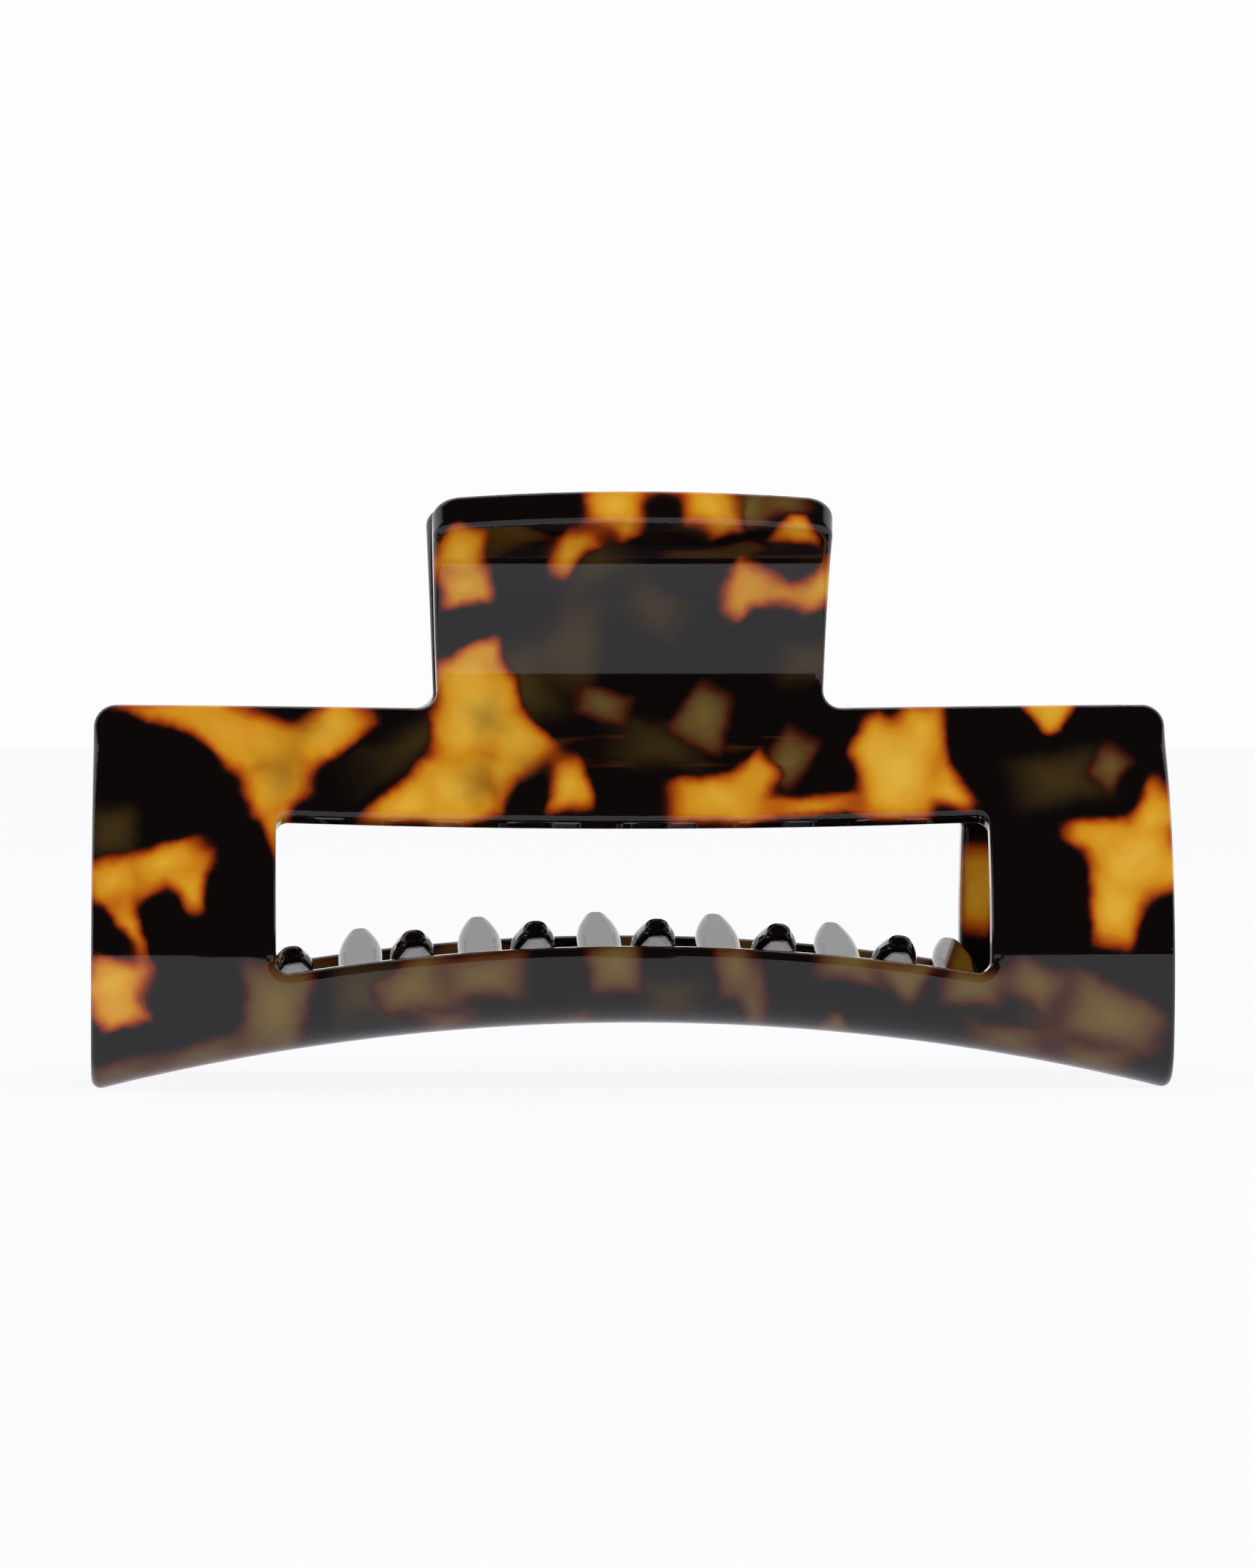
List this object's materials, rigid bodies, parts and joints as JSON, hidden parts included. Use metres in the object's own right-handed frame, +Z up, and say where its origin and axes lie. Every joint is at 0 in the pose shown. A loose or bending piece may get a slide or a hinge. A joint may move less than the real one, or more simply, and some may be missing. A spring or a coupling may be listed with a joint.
{
  "type": "claw hair clip",
  "caption": "Large rectangular cut-out claw hair clip: two bent acetate jaws with interleaving teeth, squeeze handles, a pin hinge and a torsion spring.",
  "frame": {"origin": "under the middle of the closed clip, on the surface its frame ends stand on", "axes": "+X along the hinge and the long side, +Y from the front jaw to the rear jaw, +Z up towards the handles"},
  "size_m": [0.105, 0.044, 0.0578],
  "materials": {
    "tortoise_acetate": "polished tortoise-pattern cellulose acetate",
    "dark_acetate": "polished dark cellulose acetate",
    "steel": "nickel-plated",
    "spring_steel": "drawn and plated wire"
  },
  "bodies": {
    "front_half": {"front_jaw": "tortoise_acetate", "front_lug_left": "dark_acetate", "front_lug_right": "dark_acetate", "hinge_pin": "steel", "washer_left": "steel", "washer_right": "steel", "torsion_spring": "spring_steel"},
    "rear_half": {"rear_jaw": "tortoise_acetate", "rear_lug_left": "dark_acetate", "rear_lug_right": "dark_acetate"}
  },
  "joints": [
    {"name": "jaw_hinge", "type": "hinge", "parent": "front_half", "child": "rear_half", "pos_m": [0, 0, 0.0394], "axis": [1, 0, 0], "range_deg": [0, 80], "stiffness_Nm_per_rad": 0.12, "springref_deg": -20.05, "deforming": ["torsion_spring"]}
  ]
}
